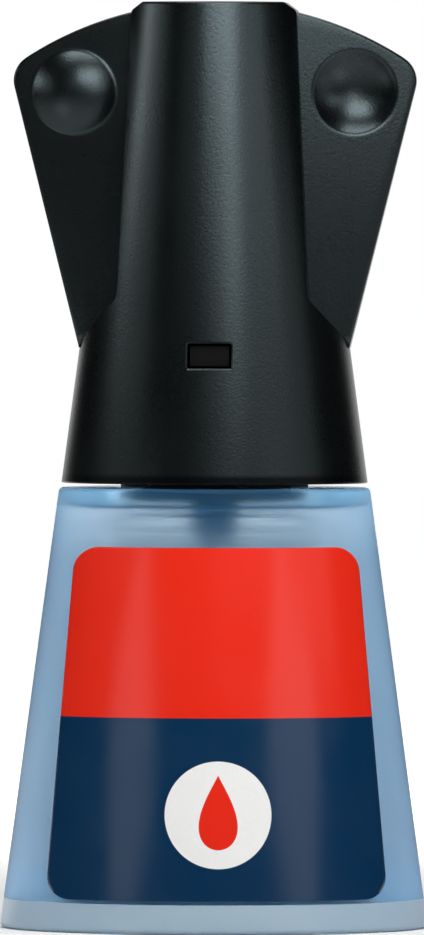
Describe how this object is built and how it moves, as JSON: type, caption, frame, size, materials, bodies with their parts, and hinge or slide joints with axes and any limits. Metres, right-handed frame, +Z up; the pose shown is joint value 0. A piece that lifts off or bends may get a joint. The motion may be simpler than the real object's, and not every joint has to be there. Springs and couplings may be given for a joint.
{
  "type": "super glue bottle with brush cap",
  "caption": "Conical frosted glue bottle on a pale base, with an inner bottle and a black winged screw cap that carries the brush.",
  "frame": {"origin": "middle of the base, on the table", "axes": "+Z up along the bottle's axis, -Y towards the front label, wings along X"},
  "size_m": [0.0346, 0.0346, 0.075],
  "materials": {
    "blue_frosted_plastic": "frosted, translucent light blue",
    "pale_frosted_plastic": "frosted, translucent, nearly colourless",
    "natural_plastic": "natural, milky",
    "white_plastic": "soft, milky white",
    "clear_glue": "clear liquid",
    "front_print": "satin printed film, red over navy",
    "rear_print": "satin printed film, navy",
    "foam": "closed-cell foam",
    "black_plastic": "fine satin grain",
    "black_inner_plastic": "satin",
    "pale_stem_plastic": "smooth, milky",
    "bristle": "nylon filament",
    "brass": "plain wire"
  },
  "bodies": {
    "bottle": {"outer_shell": "blue_frosted_plastic", "base_plate": "pale_frosted_plastic", "inner_bottle": "natural_plastic", "neck_wiper": "white_plastic", "glue_fill": "clear_glue", "front_label": "front_print", "rear_label": "rear_print"},
    "liner": {"seal_liner": "foam"},
    "cap": {"cap_shell": "black_plastic", "inner_cap": "black_inner_plastic", "brush_stem": "pale_stem_plastic", "bristle_tuft": "bristle", "tuft_staple": "brass"}
  },
  "joints": [
    {"name": "cap_lift", "type": "slide", "parent": "bottle", "child": "liner", "axis": [0, 0, 1], "range_m": [0, 0.042]},
    {"name": "cap_turn", "type": "hinge", "parent": "liner", "child": "cap", "pos_m": [0, 0, 0.0466], "axis": [0, 0, 1], "range_deg": [0, 2520]}
  ],
  "couplings": [
    {"joint": "cap_lift", "follows": "cap_turn", "m_per_rad": 0.00095492}
  ]
}
